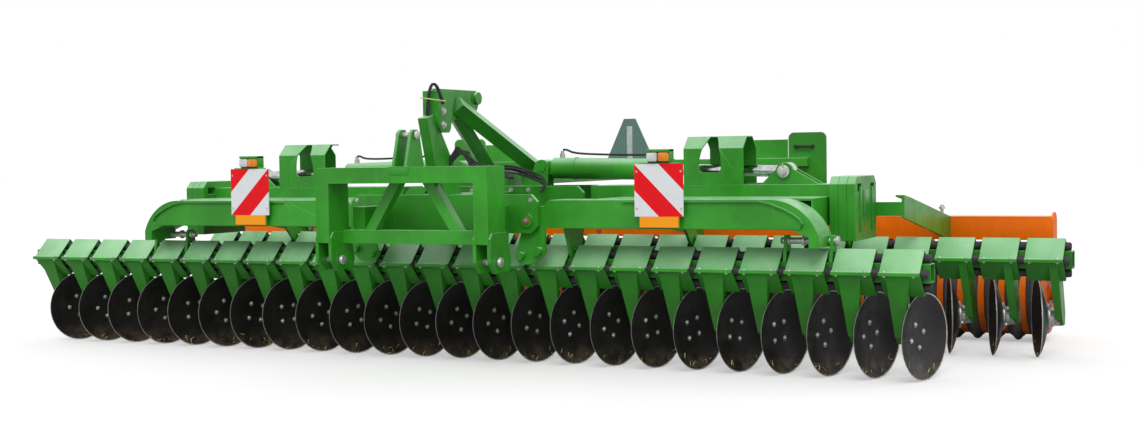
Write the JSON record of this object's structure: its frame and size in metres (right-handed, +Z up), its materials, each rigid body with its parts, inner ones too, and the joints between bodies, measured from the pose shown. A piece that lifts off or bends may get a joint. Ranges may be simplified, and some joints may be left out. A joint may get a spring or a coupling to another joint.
{
  "type": "folding disc harrow",
  "caption": "Tractor-mounted compact disc harrow with two rows of single discs on rubber-cushioned arms, a wedge-ring roller and two wings that hydraulic cylinders fold upright.",
  "frame": {"origin": "on the floor, on the machine's centre plane, halfway between the headstock's front and the rear boards' back", "axes": "+X to the machine's left-hand side seen from the tractor (right in the picture), +Y towards the back, +Z up"},
  "size_m": [6.568, 3.14, 1.59],
  "materials": {
    "green_paint": "gloss",
    "dark_green_paint": "satin",
    "orange_paint": "gloss",
    "disc_steel": "satin",
    "hub_steel": "satin",
    "zinc": "satin",
    "chrome_rod": "polished",
    "black_rubber": "matte",
    "warning_board": "satin",
    "lamp": "gloss",
    "plate_grey": "satin"
  },
  "bodies": {
    "frame": {"headstock": "green_paint", "centre_frame": "green_paint", "pivot_pins": "zinc", "tower": "green_paint", "rear_carrier": "green_paint", "rear_boards": "plate_grey"},
    "wing_left": {"wing_girder_left": "green_paint", "wing_main_beam_left": "green_paint", "cylinder_guard_left": "green_paint", "row_carriers_left": "green_paint", "row_beams_left": "dark_green_paint", "disc_arms_left": "green_paint", "rubber_cords_left": "black_rubber", "disc_hubs_left": "hub_steel", "discs_left": "disc_steel", "weights_left": "green_paint", "marker_board_left": "warning_board", "board_bracket_left": "green_paint", "marker_lamp_left": "lamp", "roller_arms_left": "green_paint", "roller_frame_left": "orange_paint", "scrapers_left": "orange_paint"},
    "roller_left": {"roller_drum_left": "orange_paint", "roller_rings_left": "black_rubber"},
    "barrel_left": {"cylinder_barrel_left": "green_paint"},
    "rod_left": {"cylinder_rod_left": "chrome_rod"},
    "wing_right": {"wing_girder_right": "green_paint", "wing_main_beam_right": "green_paint", "cylinder_guard_right": "green_paint", "row_carriers_right": "green_paint", "row_beams_right": "dark_green_paint", "disc_arms_right": "green_paint", "rubber_cords_right": "black_rubber", "disc_hubs_right": "hub_steel", "discs_right": "disc_steel", "weights_right": "green_paint", "marker_board_right": "warning_board", "board_bracket_right": "green_paint", "marker_lamp_right": "lamp", "roller_arms_right": "green_paint", "roller_frame_right": "orange_paint", "scrapers_right": "orange_paint"},
    "roller_right": {"roller_drum_right": "orange_paint", "roller_rings_right": "black_rubber"},
    "barrel_right": {"cylinder_barrel_right": "green_paint"},
    "rod_right": {"cylinder_rod_right": "chrome_rod"}
  },
  "joints": [
    {"name": "wing_left_fold", "type": "hinge", "parent": "frame", "child": "wing_left", "pos_m": [-0.5516, -0.775, 0.84], "axis": [0, 1, 0], "range_deg": [0, 90]},
    {"name": "roller_left_spin", "type": "hinge", "parent": "wing_left", "child": "roller_left", "pos_m": [-1.5, 1.145, 0.29], "axis": [1, 0, 0], "continuous": true},
    {"name": "cylinder_left_swing", "type": "hinge", "parent": "frame", "child": "barrel_left", "pos_m": [-0.29, -0.373, 1.125], "axis": [0, 1, 0], "range_deg": [0, 91]},
    {"name": "cylinder_left_stroke", "type": "slide", "parent": "barrel_left", "child": "rod_left", "axis": [0.9997, 0, 0.0229], "range_m": [0, 0.55]},
    {"name": "wing_right_fold", "type": "hinge", "parent": "frame", "child": "wing_right", "pos_m": [0.5516, -0.775, 0.84], "axis": [0, -1, 0], "range_deg": [0, 90]},
    {"name": "roller_right_spin", "type": "hinge", "parent": "wing_right", "child": "roller_right", "pos_m": [1.5, 1.145, 0.29], "axis": [1, 0, 0], "continuous": true},
    {"name": "cylinder_right_swing", "type": "hinge", "parent": "frame", "child": "barrel_right", "pos_m": [0.29, -0.373, 1.125], "axis": [0, -1, 0], "range_deg": [0, 91]},
    {"name": "cylinder_right_stroke", "type": "slide", "parent": "barrel_right", "child": "rod_right", "axis": [-0.9997, 0, 0.0229], "range_m": [0, 0.55]}
  ],
  "couplings": [
    {"joint": "cylinder_left_swing", "follows": "wing_left_fold", "ratio": 1.0071},
    {"joint": "cylinder_left_stroke", "follows": "wing_left_fold", "m_per_rad": 0.34818},
    {"joint": "cylinder_right_swing", "follows": "wing_right_fold", "ratio": 1.0071},
    {"joint": "cylinder_right_stroke", "follows": "wing_right_fold", "m_per_rad": 0.34818}
  ]
}
